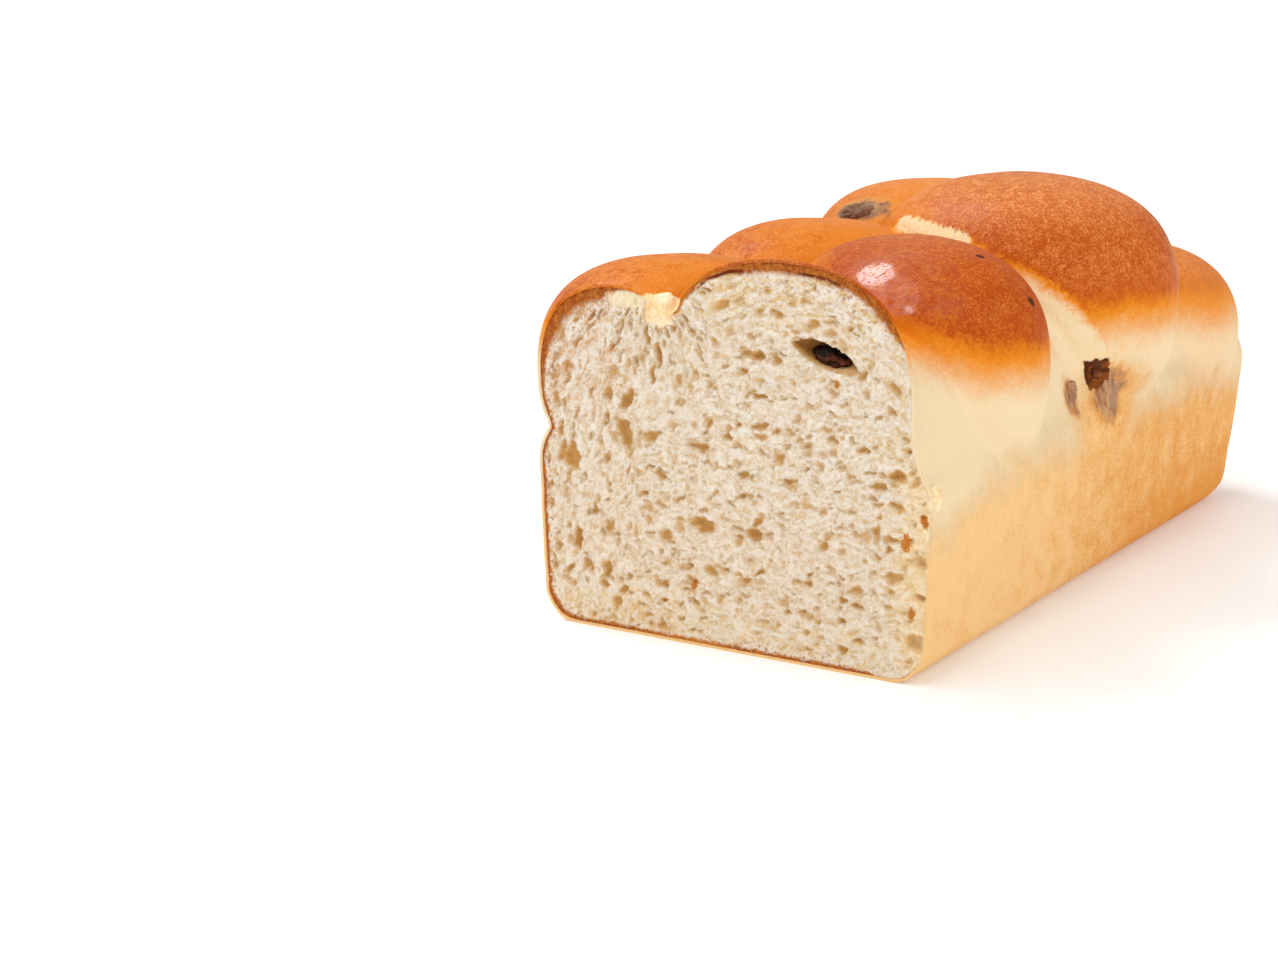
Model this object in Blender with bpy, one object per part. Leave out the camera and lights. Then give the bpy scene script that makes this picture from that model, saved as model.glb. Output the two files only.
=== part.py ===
"""A plaited brioche loaf baked in a tin, with one end sliced off and raisins showing.

Metres, +Z up. The loaf lies along Y: the cut face is at the -Y end, and the origin is at the middle of the
bounding box's underside. Each strand of the plait shows as a swelling lobe over the block that the tin shaped.
Each raisin that shows is a piece of its own, pressed into a pocket of the loaf.
"""

import math

import bmesh
import bpy
from mathutils import Matrix, Vector

MM = 0.001

# The block that the tin shaped, in millimetres
LENGTH = 245
CUT_Y = -LENGTH / 2
END_Y = LENGTH / 2
WALL_WIDTH = 115
WALL_TOP = 55
WALL_TAPER = 0.96
END_SLOPE = 11
END_CORNER = 26
FOOT_CORNER = 9
MELTS_BACK = 2.4
RIM_CORNER = 12

# The dough that fills the plait's inside
FILL_BASE = 42
FILL_BASE_WIDTH = 113
FILL_TOP = 83
FILL_TOP_WIDTH = 87
FILL_CORNER = 16
FILL_END_GAP = 30

# Each lobe of the plait: its middle, its half sizes along, across and up, and its yaw in degrees
LOBES = {
    "right_0": ((15.5, -129, 65), (37, 30, 36), -28),
    "right_1": ((22, -65, 67), (39, 31, 33), -36),
    "right_2": ((19.7, 9, 73), (43, 40, 36), -24),
    "right_3": ((20, 73, 53), (39, 39, 30), -12),
    "left_1": ((-28.4, -99, 66.5), (37.2, 30, 29), 37),
    "left_2": ((-25, -29, 68), (37, 30, 29), 32),
    "left_3": ((-22, 37, 71), (38, 33, 31), 28),
    "left_4": ((-19, 82, 56), (38, 33, 35), 20),
}
FULLNESS = 2.5
PAST_CUT = 30

# Each raisin: its middle, its half sizes, and its turn about X, Y and Z in degrees
RAISINS = {
    "raisin_cut": ((26.5, -118.6, 77.6), (5.6, 3.3, 2.9), (0, 14, 0)),
    "raisin_side_front": ((51.8, -15.0, 60.3), (3.0, 3.5, 4.6), (8, 0, -25)),
    "raisin_side_back": ((53.4, -8.6, 52.8), (3.4, 5.4, 8.0), (-20, 0, -10)),
    "raisin_fold": ((51.2, -29.5, 55.2), (2.6, 2.8, 4.8), (0, 20, -20)),
    "raisin_top": ((-33.5, 11.0, 93.6), (6.4, 3.6, 3.2), (30, -6, 10)),
}
GAP = 0.3
RAISIN_RIDGES = 5
RAISIN_RIDGE_DEPTH = 0.07
CAVITY = ((26.4, -122.5, 77.8), (9.3, 7.0, 3.4), (0, 19, 0))

VOXEL = 2.2
MELT_ROUNDS = 6
FACE_SHARE = 0.15
SHARP_ANGLE = 50

CRUST_COLOUR = (0.52, 0.20, 0.05, 1)
CRUMB_COLOUR = (0.72, 0.62, 0.46, 1)
RAISIN_COLOUR = (0.05, 0.02, 0.012, 1)


def clear_scene():
    for obj in list(bpy.data.objects):
        bpy.data.objects.remove(obj, do_unlink=True)


def make_material(name, colour, roughness):
    material = bpy.data.materials.new(name)
    material.use_nodes = True
    shader = material.node_tree.nodes["Principled BSDF"]
    shader.inputs["Base Color"].default_value = colour
    shader.inputs["Roughness"].default_value = roughness
    shader.inputs["Metallic"].default_value = 0
    return material


def add_box(name, low, high):
    bpy.ops.mesh.primitive_cube_add(size=1)
    box = bpy.context.object
    box.name = name
    low, high = Vector(low), Vector(high)
    size = (high - low) * MM
    box.data.transform(Matrix.Translation((low + high) / 2 * MM) @ Matrix.Diagonal((*size, 1)))
    return box


def round_edges(obj, radius, is_wanted):
    """Bevels the edges whose middle, in millimetres, is wanted."""
    mesh = bmesh.new()
    mesh.from_mesh(obj.data)
    edges = [e for e in mesh.edges if is_wanted((e.verts[0].co + e.verts[1].co) / 2 / MM)]
    bmesh.ops.bevel(mesh, geom=edges, offset=radius * MM, segments=6, profile=0.5, affect="EDGES")
    mesh.to_mesh(obj.data)
    mesh.free()


def make_wall_block():
    end = END_Y + MELTS_BACK
    block = add_box("block", (-WALL_WIDTH / 2, CUT_Y - PAST_CUT, 0), (WALL_WIDTH / 2, end, WALL_TOP))
    for vertex in block.data.vertices:
        if vertex.co.z < MM:
            vertex.co.x *= WALL_TAPER
            vertex.co.y -= END_SLOPE * MM if vertex.co.y > 0 else 0
    round_edges(block, END_CORNER, lambda m: m.y > END_Y - END_SLOPE and abs(m.x) > 30 and 5 < m.z < 50)
    round_edges(block, FOOT_CORNER, lambda m: m.z < 1)
    round_edges(block, RIM_CORNER, lambda m: m.z > WALL_TOP - 1)
    return block


def make_fill():
    half = FILL_BASE_WIDTH / 2
    fill = add_box("fill", (-half, CUT_Y - PAST_CUT, FILL_BASE), (half, END_Y - FILL_END_GAP, FILL_TOP))
    for vertex in fill.data.vertices:
        if vertex.co.z > FILL_BASE * MM + MM:
            vertex.co.x *= FILL_TOP_WIDTH / FILL_BASE_WIDTH
    round_edges(fill, FILL_CORNER, lambda m: m.z > FILL_TOP - 1)
    return fill


def place_ball(name, middle, half_sizes, turn, segments, rings):
    """A unit ball given its half sizes, turned about X, Y and Z by degrees, and moved into place."""
    bpy.ops.mesh.primitive_uv_sphere_add(segments=segments, ring_count=rings, radius=1)
    ball = bpy.context.object
    ball.name = name
    angles = [math.radians(angle) for angle in turn]
    rotation = Matrix.Rotation(angles[2], 4, "Z") @ Matrix.Rotation(angles[1], 4, "Y")
    rotation = rotation @ Matrix.Rotation(angles[0], 4, "X")
    scale = Matrix.Diagonal((*(Vector(half_sizes) * MM), 1))
    return ball, Matrix.Translation(Vector(middle) * MM) @ rotation @ scale


def make_lobe(name, middle, half_sizes, yaw):
    lobe, place = place_ball(name, middle, half_sizes, (0, 0, yaw), 48, 24)
    for vertex in lobe.data.vertices:
        vertex.co /= sum(abs(part) ** FULLNESS for part in vertex.co) ** (1 / FULLNESS)
    lobe.data.transform(place)
    return lobe


def make_raisin(name, middle, half_sizes, turn):
    """A wrinkled lump: the ball's skin sinks between ridges that run round it."""
    raisin, place = place_ball(name, middle, half_sizes, turn, 20, 12)
    for vertex in raisin.data.vertices:
        x, y, z = vertex.co
        ridge = math.cos(RAISIN_RIDGES * math.atan2(y, x) + 2 * z) * math.hypot(x, y)
        vertex.co *= 1 - RAISIN_RIDGE_DEPTH * (1 - ridge)
    raisin.data.transform(place)
    return raisin


def join_pieces(pieces, name):
    bpy.ops.object.select_all(action="DESELECT")
    for piece in pieces:
        piece.select_set(True)
    bpy.context.view_layer.objects.active = pieces[0]
    bpy.ops.object.join()
    pieces[0].name = name
    return pieces[0]


def melt_together(dough):
    """Makes one skin of the overlapping lumps and softens the creases between them."""
    remesh = dough.modifiers.new("skin", "REMESH")
    remesh.mode = "VOXEL"
    remesh.voxel_size = VOXEL * MM
    melt = dough.modifiers.new("melt", "SMOOTH")
    melt.factor = 0.5
    melt.iterations = MELT_ROUNDS
    thin = dough.modifiers.new("thin", "DECIMATE")
    thin.ratio = FACE_SHARE
    for modifier in list(dough.modifiers):
        bpy.ops.object.modifier_apply(modifier=modifier.name)


def add_boolean(obj, operation, other):
    other.hide_render = True
    other.display_type = "WIRE"
    boolean = obj.modifiers.new(other.name, "BOOLEAN")
    boolean.operation = operation
    boolean.solver = "EXACT"
    boolean.material_mode = "TRANSFER"
    boolean.object = other


def make_loaf(crust, crumb):
    lumps = [make_wall_block(), make_fill()]
    lumps += [make_lobe(name, *shape) for name, shape in LOBES.items()]
    loaf = join_pieces(lumps, "loaf")
    melt_together(loaf)
    loaf.data.materials.append(crust)
    loaf.data.shade_smooth()
    what_is_kept = add_box("kept", (-LENGTH, CUT_Y, 0), (LENGTH, LENGTH, LENGTH))
    what_is_kept.data.materials.append(crust)
    what_is_kept.data.materials.append(crumb)
    for face in what_is_kept.data.polygons:
        face.material_index = int(face.normal.y < -0.5)
    add_boolean(loaf, "INTERSECT", what_is_kept)
    return loaf


def make_pocket(name, shape):
    middle, half_sizes, turn = shape
    return make_raisin(name, middle, [size + GAP for size in half_sizes], turn)


def make_cavity():
    cavity, place = place_ball("cavity", *CAVITY, 24, 16)
    cavity.data.transform(place)
    return cavity


def apply_booleans(obj):
    bpy.ops.object.select_all(action="DESELECT")
    obj.select_set(True)
    bpy.context.view_layer.objects.active = obj
    for modifier in list(obj.modifiers):
        cutter = modifier.object
        bpy.ops.object.modifier_apply(modifier=modifier.name)
        bpy.data.objects.remove(cutter, do_unlink=True)


def main():
    clear_scene()
    crumb = make_material("crumb", CRUMB_COLOUR, 0.85)
    loaf = make_loaf(make_material("crust", CRUST_COLOUR, 0.5), crumb)
    cavity = make_cavity()
    cavity.data.materials.append(crumb)
    add_boolean(loaf, "DIFFERENCE", cavity)
    raisin_skin = make_material("raisin", RAISIN_COLOUR, 0.4)
    for name, shape in RAISINS.items():
        raisin = make_raisin(name, *shape)
        raisin.data.materials.append(raisin_skin)
        raisin.data.shade_smooth()
        pocket = make_pocket(name + "_pocket", shape)
        pocket.data.materials.append(crumb)
        add_boolean(loaf, "DIFFERENCE", pocket)
    apply_booleans(loaf)
    loaf.data.set_sharp_from_angle(angle=math.radians(SHARP_ANGLE))


main()
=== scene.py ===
"""The looks of a plaited brioche loaf: browned crust, open crumb on the cut face, raisins, and a studio.

Run it as a script. Every piece is an operator of its own, listed in the sidebar of the 3D view.
Lengths inside the functions are millimetres unless a name says otherwise, and the loaf lies along Y.
"""

import math
from contextlib import contextmanager
from functools import reduce

import bmesh
import bpy
from bpy.props import FloatProperty, FloatVectorProperty, IntProperty, PointerProperty
from mathutils import Matrix, Vector


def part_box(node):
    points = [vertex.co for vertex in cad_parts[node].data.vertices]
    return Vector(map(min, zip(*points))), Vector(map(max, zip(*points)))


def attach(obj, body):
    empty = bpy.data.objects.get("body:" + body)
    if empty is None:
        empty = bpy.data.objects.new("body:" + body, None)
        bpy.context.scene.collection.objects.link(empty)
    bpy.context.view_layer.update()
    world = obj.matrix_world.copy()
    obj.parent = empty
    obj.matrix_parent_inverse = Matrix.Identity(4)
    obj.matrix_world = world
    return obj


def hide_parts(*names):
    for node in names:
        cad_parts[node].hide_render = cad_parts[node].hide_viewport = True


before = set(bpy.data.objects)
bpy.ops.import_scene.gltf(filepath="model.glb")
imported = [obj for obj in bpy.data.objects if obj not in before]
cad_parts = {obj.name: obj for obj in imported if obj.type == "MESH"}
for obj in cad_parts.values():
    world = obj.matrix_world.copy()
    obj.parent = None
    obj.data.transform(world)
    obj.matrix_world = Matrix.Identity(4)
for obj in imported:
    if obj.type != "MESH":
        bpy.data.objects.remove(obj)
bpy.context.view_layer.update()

bl_info = {
    "name": "Brioche loaf",
    "version": (1, 0, 0),
    "blender": (4, 5, 0),
    "location": "3D View > Sidebar > Brioche",
    "description": "Dresses a plaited brioche loaf with crust, crumb and raisins",
    "category": "Object",
}

MM = 0.001
LOW, HIGH = (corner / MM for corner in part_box("loaf"))
CUT_Y = LOW.y
END_Y = HIGH.y

# The block that the tin shaped
WALL_WIDTH = 115
WALL_TOP = 55
WALL_TAPER = 0.96
END_SLOPE = 11
END_CORNER = 26
FOOT_CORNER = 9
MELTS_BACK = 1.4
RIM_CORNER = 12

# The dough that fills the plait's inside
FILL_BASE = 42
FILL_BASE_WIDTH = 113
FILL_TOP = 83
FILL_TOP_WIDTH = 87
FILL_CORNER = 16
FILL_END_GAP = 30

# Each lobe of the plait: its middle, its half sizes along, across and up, and its yaw in degrees
LOBES = {
    "right_0": ((15.5, -129, 65), (37, 30, 36), -28),
    "right_1": ((22, -65, 67), (39, 31, 33), -36),
    "right_2": ((19.7, 9, 73), (43, 40, 36), -24),
    "right_3": ((20, 73, 53), (39, 39, 30), -12),
    "left_1": ((-28.4, -99, 66.5), (37.2, 30, 29), 37),
    "left_2": ((-25, -29, 68), (37, 30, 29), 32),
    "left_3": ((-22, 37, 71), (38, 33, 31), 28),
    "left_4": ((-19, 82, 56), (38, 33, 35), 20),
}
FULLNESS = 2.5
CREASE_DEPTH = 1.0
PAST_CUT = 30
BEVEL_STEPS = 6
SHARP_ANGLE = 50

# The height above which the plait is browned, and how much lower it gets past this stretch of Y
BROWN_FROM = 76
BROWN_DROP = 9
BROWN_DROP_RANGE = (20, 70)

# Rounds that blur the skin to find narrow creases, valleys between strands, and whole strands
BLUR_ROUNDS = {"crease": 12, "valley": 90, "swell": 260}

# Each raisin: its middle, its half sizes, and its turn about X, Y and Z in degrees
RAISINS = {
    "raisin_cut": ((26.5, -118.6, 77.6), (5.6, 3.3, 2.9), (0, 14, 0)),
    "raisin_side_front": ((51.8, -15.0, 60.3), (3.0, 3.5, 4.6), (8, 0, -25)),
    "raisin_side_back": ((53.4, -8.6, 52.8), (3.4, 5.4, 8.0), (-20, 0, -10)),
    "raisin_fold": ((51.2, -29.5, 55.2), (2.6, 2.8, 4.8), (0, 20, -20)),
    "raisin_top": ((-33.5, 11.0, 93.6), (6.4, 3.6, 3.2), (30, -6, 10)),
}
# How far apart the raisins' folds are taken from one field of noise
FOLDS_APART = 17
# Below these heights a bare raisin shows painted light shining through it. Between the next two the film
# over a raisin darkens
LIT_BELOW = {"raisin_cut": 77, "raisin_side_front": 60}
DARK_FILM_RANGE = (80, 90)
DARK_FILM = 0.45

# The crease behind the second strand, that opened late and stayed pale
LATE_CREASE = ((-9, -15, 95), (20, -28, 93), (44, -29, 78), (52, -21, 64))

# Where dough film lies over a raisin: its middle and its half sizes
FILMS = (
    ((56.0, -10.6, 52.4), (4.5, 7.6, 7.4)),
    ((52.6, -30.6, 54.6), (3.2, 3.2, 5.4)),
    ((-33.5, 11.7, 94.8), (10.5, 6.0, 4.4)),
)
# The window where that film tore: its middle, and its half sizes along and up
WINDOW = ((54.2, -15.2, 58.8), (3.7, 4.5))
# The strained skin round the side raisins, and the glazed top of the second strand
STRAINED = ((57, -12, 54), (14, 24, 15))
GLAZED = ((28, -89, 91), (19, 14, 13))
# Dark spots in the skin: the middle and the half size
SPOTS = (((42, -69, 97), 1.3), ((55.5, -68, 86.5), 1.6))

# The crumb in the cut: the gap behind it, its straight rim, its back's width, and its deepest point
GAP = 0.2
RIM_DEPTH = 1
BACK_SHARE = 0.86
MOST_SUNK = 7

# The hollow round the raisin in the cut: its middle, its half sizes and its turn about Y
CAVITY = ((26.4, -122.5, 77.8), (9.3, 7.0, 3.4), 19)

# Torn dough: a strip between strands, a streak and an edge beside the notch, and raised lumps
TORN_STRIP = ((-7, -15, 96), (18, -27.5, 94))
TORN_STREAK = ((-29, CUT_Y, 87), (8, 9, 2.6))
TORN_RIM = ((-19.5, CUT_Y, 84.5), (7.5, 3, 5.5))
TORN_BEHIND_CUT = 0.05
TORN_LUMPS = (
    ((-20.6, -120.0, 84.6), (6.0, 3.2, 4.8)),
    ((55.4, -120.6, 46.5), (1.5, 1.8, 3.8)),
    ((54.3, -120.9, 39), (1.2, 1.4, 2.2)),
)
# Orange flakes in the crumb: the middle and the half size
CRUMB_SPOTS = (
    ((49, CUT_Y, 35.4), 2.4),
    ((53.8, CUT_Y, 41.3), 1.8),
    ((29.6, CUT_Y, 71.7), 1.1),
    ((51, CUT_Y, 18), 1.6),
    ((-9.9, CUT_Y, 15.5), 1.6),
)

# The ways that the pores follow: round the first strand, and down from the notch between two strands
ARCH_MIDDLE = (14, 44)
ARCH_FROM = 34
NOTCH = (-24, 97)
NOTCH_REACH = 46
WAYS_APART = 50.0

# The camera, from the photograph's frame in pixels
IMAGE_SIZE = (1278, 959)
FOCAL_PIXELS = 2400
CAMERA_AZIMUTH = 32.3
CAMERA_PITCH = 13.8
NEAR_FOOT = Vector((50, CUT_Y, 0))
NEAR_FOOT_PIXEL = (905, 685)
NEAR_FOOT_DEPTH = 0.58
SENSOR = 36

# Each far soft box: its azimuth, its elevation and its width, in degrees
SOFT_BOXES = {
    "key": (-50, 58, 60),
    "shine": (-108, 50, 25),
    "second_shine": (2, 56, 10),
    "side": (80, 30, 70),
}
SECOND_SHINE = 0.2
FLOOR_SIZE_METRES = 60


def colour_setting(name, description, value):
    return FloatVectorProperty(
        name=name, description=description, subtype="COLOR", size=3, min=0, max=1, default=value
    )


def length_setting(name, description, value):
    return FloatProperty(
        name=name, description=description, subtype="DISTANCE", unit="LENGTH", default=value * MM
    )


def strength_setting(name, description, value):
    return FloatProperty(name=name, description=description, default=value, min=0)


class CrustLooks(bpy.types.PropertyGroup):
    """Sizes and colours of the baked outside"""

    voxel: length_setting("Skin step", "Size of the faces of the crust's skin", 1.2)
    skin: length_setting("Skin thickness", "Width of the crust's edge round the cut face", 0.7)
    melt: IntProperty(name="Melt", description="Rounds that soften the creases between strands", default=4)
    brown: colour_setting("Brown", "Darkest baked tops", (0.43, 0.058, 0.002))
    russet: colour_setting("Russet", "Baked tops", (0.62, 0.135, 0.006))
    golden: colour_setting("Golden", "Shoulders of the strands", (0.80, 0.26, 0.012))
    # This colour also paints the sheen on the crests
    speck_and_sheen: colour_setting("Speck", "Fine light specks of the baked tops", (0.84, 0.36, 0.13))
    film: colour_setting("Film", "Dough film over a raisin", (0.64, 0.36, 0.17))
    film_dark: colour_setting("Film, dark", "Raisin showing through the film", (0.33, 0.165, 0.10))
    window: colour_setting("Window", "Film so thin that the raisin shows dark", (0.095, 0.022, 0.005))
    window_light: colour_setting("Window, light", "Amber parts of it", (0.25, 0.068, 0.010))
    pale: colour_setting("Pale", "Unbrowned sides and creases", (0.85, 0.67, 0.42))
    torn: colour_setting("Torn edge", "Pale torn edge in the notch of the cut", (0.92, 0.68, 0.34))
    tin: colour_setting("Tin side", "Sides that the tin baked", (0.89, 0.57, 0.25))
    tin_deep: colour_setting("Tin side, deep", "Darker mottle of the tin side", (0.76, 0.31, 0.055))


class CrumbLooks(bpy.types.PropertyGroup):
    """Sizes and colours of the open crumb"""

    step: length_setting("Grid step", "Size of the faces of the cut face", 0.37)
    depth: length_setting("Slab depth", "How far the crumb reaches behind the cut", 8)
    pore_size: length_setting("Pore size", "Usual width of a pore", 2.5)
    wall: colour_setting("Wall", "Thin walls between pores", (0.89, 0.81, 0.70))
    # Hollow, its two kinds, Pore and Cavity are painted shade in the pores and in the hollow round the
    # raisin
    hollow: colour_setting("Hollow", "Shallow pores", (0.70, 0.47, 0.24))
    hollow_warm: colour_setting("Hollow near the crust", "Yellower pores near the crust", (0.76, 0.50, 0.19))
    hollow_pink: colour_setting("Hollow, left strand", "Pinker pores of the left strand", (0.64, 0.34, 0.12))
    pore: colour_setting("Pore", "Inside of deep pores", (0.66, 0.35, 0.09))
    cavity_shade: colour_setting("Cavity", "Inside of the hollow round the raisin", (0.50, 0.24, 0.065))
    torn: colour_setting("Torn crumb", "Torn dough beside the cut", (0.88, 0.58, 0.26))
    torn_light: colour_setting("Torn crumb, light", "Lighter shreds of it", (0.96, 0.78, 0.50))
    toast: colour_setting("Toast", "Crumb that browned next to the crust", (0.34, 0.068, 0.008))
    toast_light: colour_setting("Light toast", "Lighter grains of the browned edge", (0.58, 0.20, 0.03))
    # Painted shade in the gap, over the crust's brown underside
    fissure: colour_setting("Fissure", "Gap under the loose crust", (0.24, 0.03, 0.005))


class RaisinLooks(bpy.types.PropertyGroup):
    """Colours of the raisins"""

    dark: colour_setting("Dark", "Bare raisin skin", (0.009, 0.004, 0.003))
    amber: colour_setting("Amber", "Bare raisin where light gets through", (0.13, 0.026, 0.006))
    glassy: colour_setting("Glassy", "Raisin in a window of the film, lit through", (0.24, 0.065, 0.010))
    glassy_dark: colour_setting("Glassy, dark", "Its darker folds", (0.10, 0.025, 0.006))
    light: colour_setting("Light brown", "Raisin under a dough film", (0.56, 0.31, 0.15))
    brown: colour_setting("Brown", "Darker streaks under the film", (0.30, 0.15, 0.095))


class StudioLooks(bpy.types.PropertyGroup):
    """Floor and light"""

    floor: colour_setting("Floor", "Plain pale floor", (0.90, 0.90, 0.90))
    floor_glow: strength_setting("Floor glow", "Light that the floor adds", 0.15)
    sky: strength_setting("Room light", "Strength of the white room", 0.42)
    key: strength_setting("Key light", "Strength of the main soft box", 1.1)
    shine: strength_setting("Shine", "Strength of the light that the glaze mirrors", 1.3)
    side: strength_setting("Side light", "Strength of the wide side light", 1.1)


class Socket:
    """A value in a node tree. Sums written with it add the tree's Math nodes."""

    def __init__(self, tree, link):
        self.tree = tree
        self.link = link

    def __add__(self, other):
        return self.tree.maths("ADD", self, other)

    def __sub__(self, other):
        return self.tree.maths("SUBTRACT", self, other)

    def __rsub__(self, other):
        return self.tree.maths("SUBTRACT", other, self)

    def __mul__(self, other):
        return self.tree.maths("MULTIPLY", self, other)

    def __truediv__(self, other):
        return self.tree.maths("DIVIDE", self, other)

    def __abs__(self):
        return self.tree.maths("ABSOLUTE", self)

    __radd__ = __add__
    __rmul__ = __mul__


class Tree:
    """A shader's or a modifier's nodes, added by asking for values."""

    def __init__(self, nodes):
        self.nodes = nodes

    def node(self, kind, settings=None, sockets=None, output=0):
        """Adds a node with these settings and sockets, and returns one of its outputs."""
        made = self.nodes.nodes.new(kind)
        for name, value in (settings or {}).items():
            setattr(made, name, value)
        for name, value in (sockets or {}).items():
            if isinstance(value, Socket):
                self.nodes.links.new(value.link, made.inputs[name])
            else:
                made.inputs[name].default_value = value
        return Socket(self, made.outputs[output])

    def maths(self, operation, *values):
        return self.node("ShaderNodeMath", {"operation": operation}, dict(enumerate(values)))

    def larger(self, first, second):
        return self.maths("MAXIMUM", first, second)

    def smaller(self, first, second):
        return self.maths("MINIMUM", first, second)

    def ease(self, value, start, end):
        """0 before start and 1 after end, with a smooth way between them."""
        sockets = {"Value": value, "From Min": start, "From Max": end}
        return self.node("ShaderNodeMapRange", {"interpolation_type": "SMOOTHSTEP"}, sockets)

    def tint(self, first, second, share):
        """A colour between two colours."""
        first, second = (c if isinstance(c, Socket) else (*c, 1) for c in (first, second))
        return self.node("ShaderNodeMix", {"data_type": "RGBA"}, {0: share, 6: first, 7: second}, 2)

    def layers(self, colour, *layers):
        """Lays colours over a colour in turn, each with its own share."""
        for over, share in layers:
            colour = self.tint(colour, over, share)
        return colour

    def join(self, x, y, z):
        return self.node("ShaderNodeCombineXYZ", None, {0: x, 1: y, 2: z})

    def split(self, vector):
        made = self.node("ShaderNodeSeparateXYZ", None, {0: vector})
        return [Socket(self, output) for output in made.link.node.outputs]

    def vector(self, operation, first, second=(0, 0, 0), output="Vector"):
        return self.node("ShaderNodeVectorMath", {"operation": operation}, {0: first, 1: second}, output)

    def scale(self, vector, factor):
        return self.node("ShaderNodeVectorMath", {"operation": "SCALE"}, {0: vector, "Scale": factor})

    def shell(self, place, middle, half_sizes):
        """How far out each point is: 0 at the middle and 1 on the ball with these half sizes."""
        away = self.vector("DIVIDE", self.vector("SUBTRACT", place, middle), half_sizes)
        return self.vector("LENGTH", away, output="Value")

    def from_line(self, place, start, end):
        """The distance from the line between two points."""
        start, end = Vector(start), Vector(end)
        along = end - start
        away = self.vector("SUBTRACT", place, start)
        share = self.vector("DOT_PRODUCT", away, along / along.length_squared, "Value")
        share = self.larger(self.smaller(share, 1), 0)
        return self.vector("DISTANCE", away, self.scale(self.vector("ADD", along), share), "Value")

    def noise(self, place, size, detail=2, roughness=0.5, swirl=0.0):
        """Cloudy values round 0.5 with features of about this size."""
        sockets = {"Vector": place, "Scale": 1 / size, "Detail": detail, "Roughness": roughness}
        sockets["Distortion"] = swirl
        return self.node("ShaderNodeTexNoise", None, sockets)

    def cells(self, place, size, feature=None):
        """A random value for each cell, or with a feature the distance that it names, in cells."""
        sockets = {"Vector": place, "Scale": 1 / size}
        if feature:
            return self.node("ShaderNodeTexVoronoi", {"feature": feature}, sockets)
        return self.split(self.node("ShaderNodeTexVoronoi", None, sockets, "Color"))[0]

    def wander(self, place, size, reach):
        """Two cloudy lengths, each up to about half of reach either way."""
        sockets = {"Vector": place, "Scale": 1 / size, "Detail": 2}
        parts = self.split(self.node("ShaderNodeTexNoise", None, sockets, "Color"))
        return (parts[0] - 0.5) * reach, (parts[1] - 0.5) * reach


def pick(*objects):
    """Makes these the only selected objects, with the first one active."""
    bpy.ops.object.select_all(action="DESELECT")
    for obj in objects:
        obj.select_set(True)
    bpy.context.view_layer.objects.active = objects[0]


@contextmanager
def editing(obj, kind="FACE"):
    """Edit mode with nothing selected, and the mesh to select in."""
    pick(obj)
    bpy.ops.object.mode_set(mode="EDIT")
    bpy.ops.mesh.select_mode(type=kind)
    bpy.ops.mesh.select_all(action="DESELECT")
    yield bmesh.from_edit_mesh(obj.data)
    bpy.ops.object.mode_set(mode="OBJECT")


def apply_modifiers(obj):
    pick(obj)
    for modifier in list(obj.modifiers):
        bpy.ops.object.modifier_apply(modifier=modifier.name)


def boolean(obj, operation, other, solver="MANIFOLD"):
    """Joins, cuts or crops obj by other, which is then removed."""
    modifier = obj.modifiers.new("with_" + other.name, "BOOLEAN")
    modifier.operation = operation
    modifier.solver = solver
    modifier.object = other
    apply_modifiers(obj)
    bpy.data.objects.remove(other, do_unlink=True)


def shape_by_nodes(obj, build):
    """Runs build(tree, geometry) as a Geometry Nodes modifier on obj and applies it."""
    group = bpy.data.node_groups.new(obj.name + "_shape", "GeometryNodeTree")
    for way in ("INPUT", "OUTPUT"):
        group.interface.new_socket("Geometry", in_out=way, socket_type="NodeSocketGeometry")
    tree = Tree(group)
    made = build(tree, tree.node("NodeGroupInput"))
    end = group.nodes.new("NodeGroupOutput")
    group.links.new(made.link, end.inputs[0])
    modifier = obj.modifiers.new("shape", "NODES")
    modifier.node_group = group
    apply_modifiers(obj)


def millimetres(tree):
    """The place of each point in millimetres, whole and in its parts."""
    place = tree.scale(tree.node("GeometryNodeInputPosition"), 1 / MM)
    return place, *tree.split(place)


def keep_values(tree, geometry, values):
    """Stores values on every point, under the names that the material reads."""
    settings = {"data_type": "FLOAT", "domain": "POINT"}
    for name, value in values.items():
        sockets = {"Geometry": geometry, "Name": name, "Value": value}
        geometry = tree.node("GeometryNodeStoreNamedAttribute", settings, sockets)
    return geometry


def move(tree, geometry, offset):
    return tree.node("GeometryNodeSetPosition", None, {"Geometry": geometry, "Offset": offset})


def new_material(name, roughness, specular=0.5):
    """A material, its tree and its shader."""
    material = bpy.data.materials.new(name)
    material.use_nodes = True
    shader = material.node_tree.nodes["Principled BSDF"]
    shader.inputs["Roughness"].default_value = roughness
    shader.inputs["Specular IOR Level"].default_value = specular
    return material, Tree(material.node_tree), shader


def object_place(tree):
    """The place on the object in millimetres, whole and in its parts."""
    place = tree.scale(tree.node("ShaderNodeTexCoord", None, None, "Object"), 1 / MM)
    return place, *tree.split(place)


def stored(tree, name):
    return tree.node("ShaderNodeAttribute", {"attribute_name": name}, None, "Fac")


def link(tree, value, socket):
    tree.nodes.links.new(value.link, socket)


def surface(tree, shader, colour, height, distance, strength):
    """Feeds the shader its colour and bumps. Height is in units of distance, in millimetres."""
    link(tree, colour, shader.inputs["Base Color"])
    sockets = {"Height": height, "Distance": distance * MM, "Strength": strength}
    link(tree, tree.node("ShaderNodeBump", None, sockets), shader.inputs["Normal"])


def coat(piece, material):
    piece.data.materials.append(material)
    piece.data.shade_smooth()


def settle(piece, slot, *nodes):
    """Hangs a finished piece on the loaf's body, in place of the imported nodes."""
    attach(piece, "root")
    if nodes:
        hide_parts(*nodes)


def add_mesh(add, name, **shape):
    """Adds one of the plain meshes, with nothing else selected."""
    bpy.ops.object.select_all(action="DESELECT")
    add(**shape)
    made = bpy.context.object
    made.name = name
    return made


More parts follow.
